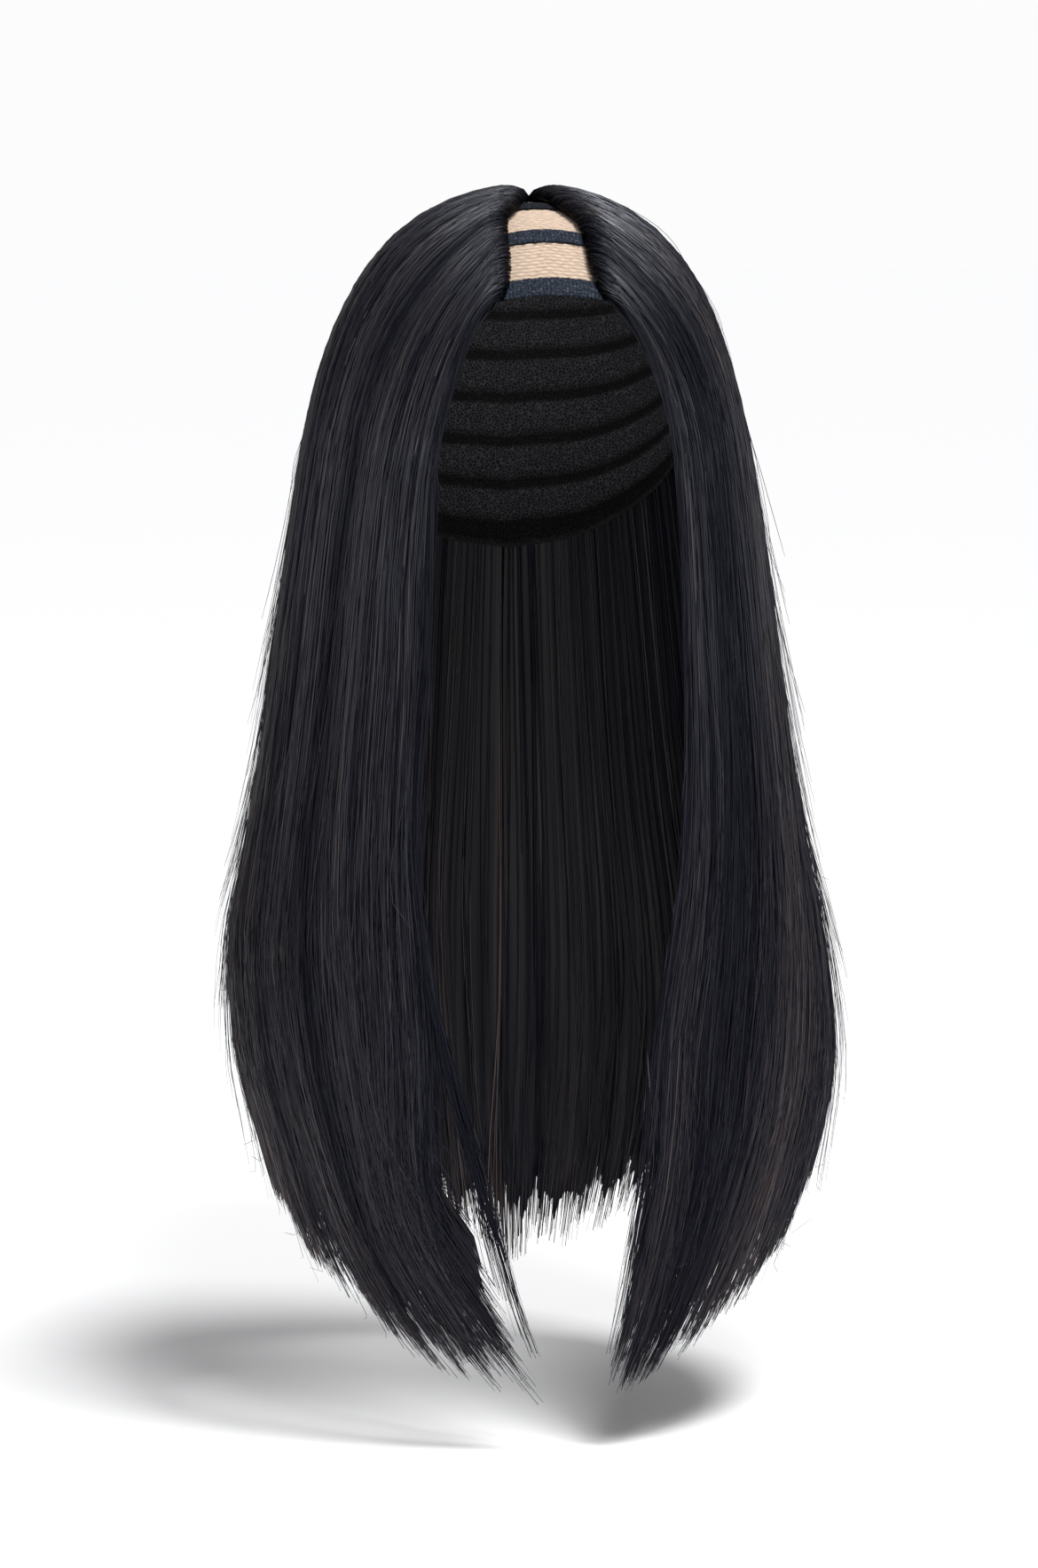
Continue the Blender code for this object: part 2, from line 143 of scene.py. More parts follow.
def read_table(table, key, place, column):
    names = table[0]
    rows = np.array(table[1:], dtype=float)
    at, of = rows[:, names.index(key)], rows[:, names.index(column)]
    place = np.clip(place, at[0], at[-1])
    slope = np.empty(len(at))
    slope[1:-1] = (of[2:] - of[:-2]) / (at[2:] - at[:-2])
    slope[0] = (of[1] - of[0]) / (at[1] - at[0])
    slope[-1] = (of[-1] - of[-2]) / (at[-1] - at[-2])
    i = np.clip(np.searchsorted(at, place, side="right") - 1, 0, len(at) - 2)
    step = at[i + 1] - at[i]
    s = (place - at[i]) / step
    return (
        (2 * s**3 - 3 * s**2 + 1) * of[i]
        + (s**3 - 2 * s**2 + s) * step * slope[i]
        + (3 * s**2 - 2 * s**3) * of[i + 1]
        + (s**3 - s**2) * step * slope[i + 1]
    )


def unit(v):
    return v / np.maximum(np.linalg.norm(v, axis=-1, keepdims=True), 1e-12)


def stack(x, y, z):
    return np.stack(np.broadcast_arrays(x, y, z), axis=-1)


def on_parting(across, lies, rise):
    wide, deep, high = HEAD[0] + rise, HEAD[1] + rise, HEAD[2] + rise
    across = across * wide / HEAD[0]
    left_over = np.sqrt(np.maximum(1 - (across / wide) ** 2, 0))
    angle = np.radians(lies)
    return stack(across, -deep * left_over * np.sin(angle), high * left_over * np.cos(angle) - HEAD[2])


def head_direction(point):
    up = (point[..., 2] + HEAD[2]) / HEAD[2]
    return np.stack([point[..., 0] / HEAD[0], point[..., 1] / HEAD[1], up], axis=-1)


def on_head(direction, rise):
    """Layer over the head, at a rise that may differ from point to point."""
    d = unit(direction)
    rise = np.broadcast_to(rise, d.shape[:-1])
    return np.stack(
        [
            (HEAD[0] + rise) * d[..., 0],
            (HEAD[1] + rise) * d[..., 1],
            (HEAD[2] + rise) * d[..., 2] - HEAD[2],
        ],
        axis=-1,
    )


def head_normal(point):
    return unit(
        np.stack(
            [
                point[..., 0] / HEAD[0] ** 2,
                point[..., 1] / HEAD[1] ** 2,
                (point[..., 2] + HEAD[2]) / HEAD[2] ** 2,
            ],
            axis=-1,
        )
    )


def rise_over_head(point):
    scaled = head_direction(point)
    f = np.linalg.norm(scaled, axis=-1)
    return (f - 1) * f / np.linalg.norm(scaled / HEAD, axis=-1)


def kept_off_head(point, least):
    for _ in range(4):
        short = np.maximum(least - rise_over_head(point), 0)
        point = point + head_normal(point) * short[..., None]
    return point


def degrees_along(length):
    return np.degrees(length / HEAD[1])


FRONT_EDGE_LIES = FRONT_BAND_LIES + degrees_along(BAND_WIDTH) / 2
OPENING_REAR_LIES = REAR_BAND_LIES - degrees_along(BAND_WIDTH)


def part_edge(lies):
    share = (lies - CROWN_LIES) / (FRONT_EDGE_LIES - CROWN_LIES)
    return OPENING_HALF_WIDTH * read_table(PART_SHARES, "lies", share, "half")


def opening_half(lies):
    wide = part_edge(np.maximum(lies, OPENING_REAR_LIES)) + SEAM_COVER
    behind = np.radians(np.maximum(OPENING_REAR_LIES - lies, 0)) * HEAD[1]
    return np.sqrt(np.maximum(wide**2 - behind**2, 0))


def seat_height(point):
    d = head_direction(point)
    lies = np.degrees(np.arctan2(-d[..., 1], d[..., 2]))
    beside = (opening_half(lies) + BAND_TUCK + 2 * SEAT_RAMP - np.abs(point[..., 0])) / SEAT_RAMP
    behind = (lies - OPENING_REAR_LIES) / degrees_along(SEAT_RAMP) + 1
    return CAP_WALL + HAIR_SEAT + BAND_WALL * smooth_step(beside) * smooth_step(behind)


def hanging(round_at, level, side):
    drop = level / HAIR_DROP
    edge_x = HAIR_HALF_WIDTH * read_table(FALL_SHARES, "drop", drop, EDGE_OF_SIDE[side])
    side_x = HAIR_HALF_WIDTH * read_table(FALL_SHARES, "drop", drop, WIDEST_OF_SIDE[side])
    edge_y = -HAIR_FRONT_REACH * read_table(FALL_SHARES, "drop", drop, "edge_y")
    side_y = HAIR_BACK_REACH * read_table(FALL_SHARES, "drop", drop, "side_y")
    back_y = HAIR_BACK_REACH * read_table(FALL_SHARES, "drop", drop, "back_y")
    front = np.radians(90) * round_at / SIDE_AT
    rear = np.radians(90) * (round_at - SIDE_AT) / (1 - SIDE_AT)
    x = np.where(round_at < SIDE_AT, edge_x + (side_x - edge_x) * np.sin(front), side_x * np.cos(rear))
    y = np.where(
        round_at < SIDE_AT,
        side_y + (edge_y - side_y) * np.cos(front),
        side_y + (back_y - side_y) * np.sin(rear),
    )
    return stack(side * x, y, -level)


def root(round_at, side, rise):
    lies = FRONT_EDGE_LIES + (CROWN_LIES - FRONT_EDGE_LIES) * np.clip(round_at / FAN_AT, 0.0, 1.0)
    turn = np.radians(90) * np.clip((round_at - FAN_AT) / (1 - FAN_AT), 0.0, 1.0)
    across = part_edge(lies) * np.cos(turn)
    lies = lies - degrees_along(CROWN_RADIUS * np.sin(turn))
    return on_parting(side * across, lies, rise)


def reach_of(round_at):
    return HAIR_DROP * read_table(HEM_SHARES, "round", round_at, "drop")


def fall(round_at, t, side, cut=0.0):
    """Hair's outer side: t from 0 at the root to 1 where it leaves the head, and on to 2 at the tip."""
    level = HANG_FROM + (reach_of(round_at) - cut - HANG_FROM) * np.clip(t - 1, 0, None)
    hung = hanging(round_at, level, side)
    end = hanging(round_at, HANG_FROM + 0 * t, side)
    end_way = unit(hanging(round_at, HANG_FROM + CURTAIN_THICK + 0 * t, side) - end)
    start = root(round_at, side, HAIR_TOP)
    up = head_normal(start)
    way = end - start
    way = unit(way - up * np.sum(way * up, axis=-1, keepdims=True))
    chord = np.linalg.norm(end - start, axis=-1)
    bend = np.maximum(np.arccos(np.clip(np.sum(way * end_way, axis=-1), -1, 1)), 0.01)
    handle = (FULLNESS * chord * 2 * np.tan(bend / 4) / (3 * np.sin(bend / 2)))[..., None]
    a, b = start + way * handle, end - end_way * handle
    s = np.clip(t, 0, 1)[..., None]
    r = 1 - s
    over = start * r**3 + a * 3 * r * r * s + b * 3 * r * s * s + end * s**3
    over = kept_off_head(over, CAP_WALL + HAIR_SEAT + LEAST_THICK)
    return np.where((t > 1)[..., None], hung, over)


def hair_surface(round_at, t, side, cut=0.0):
    """Outer side with the roll at the root, its outward normal, and the hair's thickness under it."""
    base = fall(round_at, t, side, cut)
    low, high = np.clip(round_at - 0.004, 0, 1), np.clip(round_at + 0.004, 0, 1)
    middle = np.clip(t, 0.02, 1.98)
    along_round = fall(high, middle, side, cut) - fall(low, middle, side, cut)
    along_fall = fall(round_at, middle + 0.02, side, cut) - fall(round_at, middle - 0.02, side, cut)
    normal = unit(np.cross(along_round, along_fall)) * -side
    seat = seat_height(base)
    away = np.linalg.norm(base - root(round_at, side, HAIR_TOP), axis=-1)
    swell = np.sqrt(1 - (1 - np.minimum(away / ROOT_ROLL, 1.0)) ** 2)
    over_edge = rise_over_head(base) - seat - HAIR_EDGE
    lowered = base - head_normal(base) * (over_edge * (1 - swell))[..., None]
    on_top = (t <= 1)[..., None]
    outer = np.where(on_top, lowered, base)
    edge = np.minimum(np.clip(round_at, 0, 1) / EDGE_ROUNDING, 1.0)
    thick = LEAST_THICK + (CURTAIN_THICK - LEAST_THICK) * np.sqrt(1 - (1 - edge) ** 2)
    in_tip = np.clip(t - 1, 0, 1)
    thick = thick + (TIP_THICK - thick) * in_tip**3
    over_seat = np.maximum(rise_over_head(outer) - seat, 0)
    fills = smooth_step((1 - t) * 11 / 3)
    on_head_thick = np.minimum(thick + np.maximum(over_seat - thick, 0) * fills, over_seat)
    thick = np.where(t <= 1, on_head_thick, thick)
    mixed = unit(normal * (1 - fills)[..., None] + head_normal(outer) * fills[..., None])
    normal = np.where(on_top, mixed, normal)
    return outer, normal, thick


# Meshes from arrays.
def mesh_object(name, verts, faces, material, uv=None):
    mesh = bpy.data.meshes.new(name)
    verts = np.ascontiguousarray(verts, dtype=np.float32)
    mesh.vertices.add(len(verts))
    mesh.vertices.foreach_set("co", verts.ravel())
    loops = np.concatenate([f.ravel() for f in faces]).astype(np.int32)
    sizes = np.concatenate([np.full(len(f), f.shape[1]) for f in faces])
    starts = np.concatenate(([0], np.cumsum(sizes)[:-1])).astype(np.int32)
    mesh.loops.add(len(loops))
    mesh.loops.foreach_set("vertex_index", loops)
    mesh.polygons.add(len(sizes))
    mesh.polygons.foreach_set("loop_start", starts)
    mesh.polygons.foreach_set("use_smooth", np.ones(len(sizes), dtype=bool))
    if uv is not None:
        layer = mesh.uv_layers.new(name="OFBake")
        layer.data.foreach_set("uv", np.ascontiguousarray(uv[loops], dtype=np.float32).ravel())
    mesh.update(calc_edges=True)
    mesh.materials.append(material)
    obj = bpy.data.objects.new(name, mesh)
    bpy.context.scene.collection.objects.link(obj)
    return obj


def closed_sheet(name, outer, inner, material, uv_grid=None, flip=False):
    """Closed solid between two grids of points of the same size."""
    rows, columns = outer.shape[:2]
    verts = np.concatenate([outer.reshape(-1, 3), inner.reshape(-1, 3)])
    index = np.arange(rows * columns).reshape(rows, columns)
    top = np.stack([index[:-1, :-1], index[:-1, 1:], index[1:, 1:], index[1:, :-1]], axis=-1).reshape(-1, 4)
    far = rows * columns
    bottom = top[:, ::-1] + far
    border = np.concatenate([index[0, :-1], index[:-1, -1], index[-1, :0:-1], index[:0:-1, 0]])
    after = np.roll(border, -1)
    rim = np.stack([after, border, border + far, after + far], axis=-1)
    faces = np.concatenate([top, bottom, rim])
    if flip:
        faces = faces[:, ::-1]
    uv = None
    if uv_grid is not None:
        uv = np.concatenate([uv_grid.reshape(-1, 2), uv_grid.reshape(-1, 2)])
    return mesh_object(name, verts, [faces], material, uv)


def tubes(name, paths, normals, radii, shade, material, sides=3):
    """Thin closed tubes, one for each path, joined in one mesh.

    The map holds shade across and length along.
    """
    count, steps = paths.shape[:2]
    tangent = unit(np.gradient(paths, axis=1))
    across = unit(np.cross(tangent, normals))
    out = unit(np.cross(across, tangent))
    turn = rng.uniform(0, 2 * math.pi, count)[:, None, None] + 2 * math.pi * np.arange(sides) / sides
    ring = np.cos(turn)[..., None] * out[:, :, None, :] + np.sin(turn)[..., None] * across[:, :, None, :]
    verts = (paths[:, :, None, :] + radii[:, :, None, None] * ring).reshape(-1, 3)
    base = (np.arange(count) * steps * sides)[:, None, None]
    step = (np.arange(steps - 1) * sides)[None, :, None]
    j = np.arange(sides)[None, None, :]
    k = (j + 1) % sides
    a, b = base + step + j, base + step + k
    quads = np.stack([a, b, b + sides, a + sides], axis=-1).reshape(-1, 4)
    first = (base[:, 0, 0][:, None] + np.arange(sides)[::-1][None, :])
    last = (base[:, 0, 0][:, None] + (steps - 1) * sides + np.arange(sides)[None, :])
    along = np.broadcast_to(np.linspace(0, 1, steps), (count, steps))
    uv = np.stack(np.broadcast_arrays(shade[:, None, None], along[:, :, None] + 0 * turn), axis=-1)
    uv = uv.reshape(-1, 2)
    return mesh_object(name, verts, [quads, np.concatenate([first, last])], material, uv)


# Materials.
def new_material(name):
    material = bpy.data.materials.new(name)
    material.use_nodes = True
    tree = material.node_tree
    return material, tree, tree.nodes["Principled BSDF"]


def node(tree, kind, **values):
    made = tree.nodes.new(kind)
    for key, value in values.items():
        if key in made.inputs:
            made.inputs[key].default_value = value
        else:
            setattr(made, key, value)
    return made


def ramp(tree, source, stops):
    made = tree.nodes.new("ShaderNodeValToRGB")
    elements = made.color_ramp.elements
    while len(elements) < len(stops):
        elements.new(0.5)
    for element, (place, colour) in zip(elements, stops):
        element.position = place
        element.color = (*colour, 1) if len(colour) == 3 else colour
    tree.links.new(source, made.inputs["Fac"])
    return made


def grey(value):
    return (value, value, value)


HAIR_SHADES = (
    (0.00, (0.0014, 0.0016, 0.0045)),
    (0.30, (0.0042, 0.0042, 0.0090)),
    (0.55, (0.0135, 0.0112, 0.0135)),
    (0.78, (0.0350, 0.0255, 0.0240)),
    (1.00, (0.0680, 0.0520, 0.0480)),
)

# Along each strand from root to tip: darker towards the roots, lighter and browner towards the tips. The
# browner ends are the hair's own colour; the lighter lower hair is partly painted light.
HAIR_TINTS_AND_PAINTED_LIGHT = (
    (0.00, grey(0.35)),
    (0.10, grey(0.75)),
    (0.20, grey(0.95)),
    (0.60, grey(1.25)),
    (0.85, (2.0, 1.8, 1.7)),
    (1.00, (2.8, 2.3, 2.0)),
)
HAIR_SHINE = ((0.00, grey(0.22)), (0.45, grey(0.75)), (0.80, grey(1.0)), (1.00, grey(1.0)))


def strand_material():
    """Map u is the shade and v the share of the length from the root."""
    material, tree, shader = new_material("hair_strands")
    place = node(tree, "ShaderNodeUVMap", uv_map="OFBake")
    apart = tree.nodes.new("ShaderNodeSeparateXYZ")
    tree.links.new(place.outputs["UV"], apart.inputs[0])
    shade = ramp(tree, apart.outputs["X"], HAIR_SHADES)
    # Darker towards the roots, lighter towards the tips; the lighter lower hair is partly painted light.
    tint_and_painted_light = ramp(tree, apart.outputs["Y"], HAIR_TINTS_AND_PAINTED_LIGHT)
    mix = node(tree, "ShaderNodeMix", data_type="RGBA", blend_type="MULTIPLY")
    mix.inputs[0].default_value = 1.0
    tree.links.new(shade.outputs["Color"], mix.inputs[6])
    tree.links.new(tint_and_painted_light.outputs["Color"], mix.inputs[7])
    tree.links.new(mix.outputs[2], shader.inputs["Base Color"])
    rough = ramp(tree, apart.outputs["X"], ((0.0, grey(0.50)), (0.5, grey(0.41)), (1.0, grey(0.45))))
    tree.links.new(rough.outputs["Color"], shader.inputs["Roughness"])
    shine = ramp(tree, apart.outputs["X"], HAIR_SHINE)
    dull = ramp(tree, apart.outputs["Y"], ((0.0, grey(0.15)), (0.07, grey(0.35)), (0.17, grey(1.0))))
    gleam = node(tree, "ShaderNodeMix", data_type="RGBA", blend_type="MULTIPLY")
    gleam.inputs[0].default_value = 1.0
    tree.links.new(shine.outputs["Color"], gleam.inputs[6])
    tree.links.new(dull.outputs["Color"], gleam.inputs[7])
    tree.links.new(gleam.outputs[2], shader.inputs["Specular IOR Level"])
    shader.inputs["Specular Tint"].default_value = (0.84, 0.89, 1.0, 1)
    return material


def core_material():
    material, tree, shader = new_material("hair_core")
    place = node(tree, "ShaderNodeUVMap", uv_map="OFBake")
    scale = node(tree, "ShaderNodeMapping")
    scale.inputs["Scale"].default_value = (170.0, 2.2, 1.0)
    tree.links.new(place.outputs["UV"], scale.inputs["Vector"])
    fine = node(tree, "ShaderNodeTexNoise", Scale=1.0, Detail=4.0, Roughness=0.6)
    tree.links.new(scale.outputs["Vector"], fine.inputs["Vector"])
    darkest, dark, _, light, _ = (colour for _, colour in HAIR_SHADES)
    shade = ramp(tree, fine.outputs["Fac"], ((0.30, darkest), (0.5, dark), (0.70, light)))
    tree.links.new(shade.outputs["Color"], shader.inputs["Base Color"])
    rough = ramp(tree, fine.outputs["Fac"], ((0.3, grey(0.55)), (0.7, grey(0.42))))
    tree.links.new(rough.outputs["Color"], shader.inputs["Roughness"])
    bump = node(tree, "ShaderNodeBump", Strength=0.35, Distance=0.0004)
    tree.links.new(fine.outputs["Fac"], bump.inputs["Height"])
    tree.links.new(bump.outputs["Normal"], shader.inputs["Normal"])
    shader.inputs["Specular IOR Level"].default_value = 0.35
    return material


def elastic_material(name, painted_light_gain):
    """Map u is how high the braid stands; the colour is painted darker in the braid's hollows and lighter on
    its crossings, as painted shade and painted highlight.
    """
    material, tree, shader = new_material(name)
    place = node(tree, "ShaderNodeTexCoord")
    map_uv = node(tree, "ShaderNodeUVMap", uv_map="OFBake")
    apart = tree.nodes.new("ShaderNodeSeparateXYZ")
    tree.links.new(map_uv.outputs["UV"], apart.inputs[0])
    cloud = node(tree, "ShaderNodeTexNoise", Scale=900.0, Detail=4.0, Roughness=0.75)
    tree.links.new(place.outputs["Object"], cloud.inputs["Vector"])
    colour = ramp(
        tree,
        cloud.outputs["Fac"],
        (
            (0.40, (0.0040, 0.0065, 0.0125)),
            (0.54, (0.0120, 0.0180, 0.0310)),
            (0.68, (0.0820, 0.0950, 0.1250)),
        ),
    )
    # Painted shade in the braid's hollows and painted highlight on its crossings; a gain below one darkens
    # all of it as painted shade.
    steps = ((0.0, grey(0.3 * painted_light_gain)), (0.5, grey(0.85 * painted_light_gain)), (1.0, grey(1.5 * painted_light_gain)))
    dark = ramp(tree, apart.outputs["X"], steps)
    mix = node(tree, "ShaderNodeMix", data_type="RGBA", blend_type="MULTIPLY")
    mix.inputs[0].default_value = 1.0
    tree.links.new(colour.outputs["Color"], mix.inputs[6])
    tree.links.new(dark.outputs["Color"], mix.inputs[7])
    tree.links.new(mix.outputs[2], shader.inputs["Base Color"])
    bump = node(tree, "ShaderNodeBump", Strength=0.7, Distance=0.0004)
    tree.links.new(cloud.outputs["Fac"], bump.inputs["Height"])
    tree.links.new(bump.outputs["Normal"], shader.inputs["Normal"])
    shader.inputs["Roughness"].default_value = 0.85
    shader.inputs["Specular IOR Level"].default_value = 0.2
    return material


def knit_material():
    """Map u is how high the rib stands; the colour is painted darker in the rib valleys and lighter on the
    rib tops, as painted shade and painted highlight.
    """
    material, tree, shader = new_material("nude_ribbed_knit")
    place = node(tree, "ShaderNodeTexCoord")
    map_uv = node(tree, "ShaderNodeUVMap", uv_map="OFBake")
    apart = tree.nodes.new("ShaderNodeSeparateXYZ")
    tree.links.new(map_uv.outputs["UV"], apart.inputs[0])
    cloud = node(tree, "ShaderNodeTexNoise", Scale=420.0, Detail=5.0, Roughness=0.7)
    tree.links.new(place.outputs["Object"], cloud.inputs["Vector"])
    colour = ramp(
        tree,
        cloud.outputs["Fac"],
        ((0.30, (0.41, 0.325, 0.260)), (0.50, (0.49, 0.395, 0.320)), (0.72, (0.55, 0.455, 0.375))),
    )
    # Painted shade in the rib valleys and stitch pits, painted highlight on the rib tops.
    rib = ramp(
        tree,
        apart.outputs["X"],
        ((0.0, (0.60, 0.52, 0.46)), (0.45, (0.88, 0.85, 0.82)), (1.0, (1.08, 1.08, 1.08))),
    )
    mix = node(tree, "ShaderNodeMix", data_type="RGBA", blend_type="MULTIPLY")
    mix.inputs[0].default_value = 1.0
    tree.links.new(colour.outputs["Color"], mix.inputs[6])
    tree.links.new(rib.outputs["Color"], mix.inputs[7])
    tree.links.new(mix.outputs[2], shader.inputs["Base Color"])
    bump = node(tree, "ShaderNodeBump", Strength=0.4, Distance=0.0003)
    tree.links.new(cloud.outputs["Fac"], bump.inputs["Height"])
    tree.links.new(bump.outputs["Normal"], shader.inputs["Normal"])
    shader.inputs["Roughness"].default_value = 0.9
    shader.inputs["Specular IOR Level"].default_value = 0.15
    return material


def lace_material():
    """Map u is how near the row of weft stitching is."""
    material, tree, shader = new_material("black_stretch_lace")
    place = node(tree, "ShaderNodeTexCoord")
    map_uv = node(tree, "ShaderNodeUVMap", uv_map="OFBake")
    apart = tree.nodes.new("ShaderNodeSeparateXYZ")
    tree.links.new(map_uv.outputs["UV"], apart.inputs[0])
    net = node(tree, "ShaderNodeTexVoronoi", Scale=700.0, feature="DISTANCE_TO_EDGE")
    tree.links.new(place.outputs["Object"], net.inputs["Vector"])
    threads = ((0.02, (0.120, 0.115, 0.125)), (0.14, (0.016, 0.016, 0.019)))
    colour = ramp(tree, net.outputs["Distance"], threads)
    weft = ramp(tree, apart.outputs["X"], ((0.0, grey(1.0)), (0.25, grey(0.75)), (0.6, grey(0.22))))
    mix = node(tree, "ShaderNodeMix", data_type="RGBA", blend_type="MULTIPLY")
    mix.inputs[0].default_value = 1.0
    tree.links.new(colour.outputs["Color"], mix.inputs[6])
    tree.links.new(weft.outputs["Color"], mix.inputs[7])
    tree.links.new(mix.outputs[2], shader.inputs["Base Color"])
    bump = node(tree, "ShaderNodeBump", Strength=0.6, Distance=0.0003, invert=True)
    tree.links.new(net.outputs["Distance"], bump.inputs["Height"])
    tree.links.new(bump.outputs["Normal"], shader.inputs["Normal"])
    shader.inputs["Roughness"].default_value = 0.8
    shader.inputs["Specular IOR Level"].default_value = 0.25
    return material


STRANDS = strand_material()
CORE = core_material()
ELASTIC = elastic_material("navy_elastic_knit", 1.0)
# A darker copy of the same elastic, darkened as painted shade, for the rear band.
SHADED_ELASTIC = elastic_material("shaded_elastic_knit", 0.35)
KNIT = knit_material()
LACE = lace_material()


# Cap, panel and bands.
def finish_piece(obj, slot, *nodes):
    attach(obj, "root")
    if nodes:
        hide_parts(*nodes)


def build_cap():
    turns = np.linspace(-1, 1, CAP_COLUMNS + 1)
    round_at = 1 - np.abs(turns)
    lies = FRONT_EDGE_LIES + (OPENING_REAR_LIES - FRONT_EDGE_LIES) * np.minimum(round_at / FAN_AT, 1.0)
    across = opening_half(lies)
    fan = np.where(round_at > FAN_AT, np.radians(90) * (round_at - FAN_AT) / (1 - FAN_AT), 0)
    lies = lies - degrees_along(across * np.sin(fan))
    across = across * np.cos(fan)
    start = unit(head_direction(on_parting(across, lies, 0)))
    bearing = np.radians(read_table(CAP_EDGE, "round", round_at, "bearing"))
    down = np.radians(read_table(CAP_EDGE, "round", round_at, "lies"))
    end = stack(np.sin(down) * np.sin(bearing), -np.sin(down) * np.cos(bearing), np.cos(down))
    between = np.arccos(np.clip(np.sum(start * end, axis=-1), -1, 1))[None, :, None]
    share = np.linspace(0, 1, CAP_ROWS + 1)[:, None, None]
    way = (np.sin((1 - share) * between) * start + np.sin(share * between) * end) / np.sin(between)
    side = np.where(turns < 0, -1.0, 1.0)
    way = way * stack(side, 1.0 + 0 * side, 1.0 + 0 * side)[None]
    length = between[..., 0] * HEAD[1] * share[..., 0]
    step = np.arange(CAP_ROWS + 1)[:, None] + 0 * length
    weft = np.select([step % WEFT_EVERY == 3, step % WEFT_EVERY == 2], [1.0, 0.35], 0.0)
    hem = smooth_step((share[..., 0] - 0.95) / 0.02) + 0 * length
    inner = on_head(way, 0.80 * MM - 0.75 * MM * np.maximum(weft, hem))
    outer = on_head(way, CAP_WALL + 0 * weft)
    high = np.clip(np.maximum(weft, hem), 0, 1)
    obj = closed_sheet("cap_lace", outer, inner, LACE, np.stack([high, share[..., 0] + 0 * high], axis=-1))
    finish_piece(obj, "black_lace", "cap")
    return obj, grid_area(on_head(way, 0.0))


def grid_area(points):
    a, b = points[1:, :-1] - points[:-1, :-1], points[:-1, 1:] - points[:-1, :-1]
    return float(np.sum(np.linalg.norm(np.cross(a, b), axis=-1)))


def build_panel():
    front = FRONT_EDGE_LIES - degrees_along(BAND_WIDTH) * PANEL_SHORT
    rear = OPENING_REAR_LIES - degrees_along(opening_half(OPENING_REAR_LIES)) * PANEL_REAR
    lies = np.linspace(rear, front, 150)[:, None]
    share = np.linspace(-1, 1, 46)[None, :]
    half = opening_half(lies) - PANEL_CLEAR
    across = half * share
    along = np.radians(lies) * HEAD[1] + 0 * across
    wave = 0.26 * MM * np.sin(2 * np.pi * across / (5.1 * MM) + 0.9 * np.floor(along / RIB_PITCH) * np.pi)
    wave = wave + 0.30 * MM * np.sin(2 * np.pi * across / (15.0 * MM) + 1.7)
    rib = 0.5 + 0.5 * np.cos(2 * np.pi * (along + wave) / RIB_PITCH)
    stitch = 0.5 + 0.5 * np.cos(2 * np.pi * across / (1.3 * MM) + np.pi * np.floor(along / RIB_PITCH))
    edge = smooth_step((np.abs(share) - 0.93) / 0.05)
    height = PANEL_WALL - 0.75 * MM * (1 - rib**0.7) * (1 - edge) - 0.15 * MM * stitch * rib
    way = head_direction(on_parting(across, lies, 0))
    outer = on_head(way, height)
    inner = on_head(way, 0.15 * MM)
    # The map's u is the rib's height: the knit material paints shade in the valleys and a highlight on the
    # tops from it.
    high = np.clip(rib * (1 - edge) + 0.85 * edge - 0.25 * stitch * rib, 0, 1)
    uv = np.stack([high, 0.5 + 0.49 * share + 0 * high], axis=-1)
    obj = closed_sheet("part_panel_knit", outer, inner, KNIT, uv)
    finish_piece(obj, "nude_knit", "part_panel")
    return obj, grid_area(on_head(way, 0.0))


def build_band(name, lies):
    half = float(opening_half(np.array(lies))) + BAND_TUCK
    steps = int(2 * half / (0.38 * MM))
    across = np.linspace(-half, half, steps)[None, :]
    width = np.linspace(-0.5, 0.5, 22)[:, None]
    ragged = 0.16 * MM * np.sin(across / (0.9 * MM)) + 0.14 * MM * np.sin(across / (0.37 * MM) + 1.0)
    edge_out = width * (BAND_WIDTH - 0.3 * MM) + np.sign(width) * ragged * (np.abs(width) > 0.44)
    at = lies + degrees_along(edge_out)
    u, v = across / BRAID_ACROSS, edge_out / BRAID_ALONG
    braid = np.cos(np.pi * (u + v)) * np.cos(np.pi * (u - v))
    rounding = np.sqrt(np.clip(1 - (np.abs(width) * 2) ** 6, 0, 1))
    rise = max(CAP_WALL, PANEL_WALL) + GAP
    way = head_direction(on_parting(across, at, 0))
    outer = on_head(way, rise + BAND_WALL * (0.45 + 0.50 * rounding) + BRAID_RISE * braid)
    inner = on_head(way, rise + 0 * braid)
    # The map's u is the braid's height: the elastic material paints shade in the hollows and a highlight on
    # the crossings from it.
    high = 0.5 + 0.5 * braid
    # The rear band takes the darker copy: painted shade at the back of the opening.
    material = SHADED_ELASTIC if name == "rear_band" else ELASTIC
    uv = np.stack([high, 0.5 + 0.98 * width + 0 * high], axis=-1)
    obj = closed_sheet(f"{name}_elastic", outer, inner, material, uv)
    finish_piece(obj, "navy_elastic", name)
    return obj, 2 * half


cap, cap_area = build_cap()
panel, panel_area = build_panel()
bands = [
    (build_band("front_band", FRONT_BAND_LIES), "front_band"),
    (build_band("middle_band", MIDDLE_BAND_LIES), "middle_band"),
    (build_band("rear_band", REAR_BAND_LIES), "rear_band"),
]


# Hair: locks, strands, cores and tips.
def waves(count, strengths, rates):
    """Smooth wandering, one for each item: a function of the place along."""
    phase = rng.uniform(0, 2 * np.pi, (len(rates), count))
    size = rng.normal(0, 1, (len(rates), count)) * np.array(strengths)[:, None]

    def value(item, t):
        total = 0.0
        for n, rate in enumerate(rates):
            total = total + size[n][item] * np.sin(2 * np.pi * rate * t + phase[n][item])
        return total

    return value


def between(value, place, t):
    """The wandering at a place between two whole items, which moves evenly from one to the other."""
    item = np.floor(place).astype(int)
    share = smooth_step(place - item)
    return value(item, t) * (1 - share) + value(item + 1, t) * share


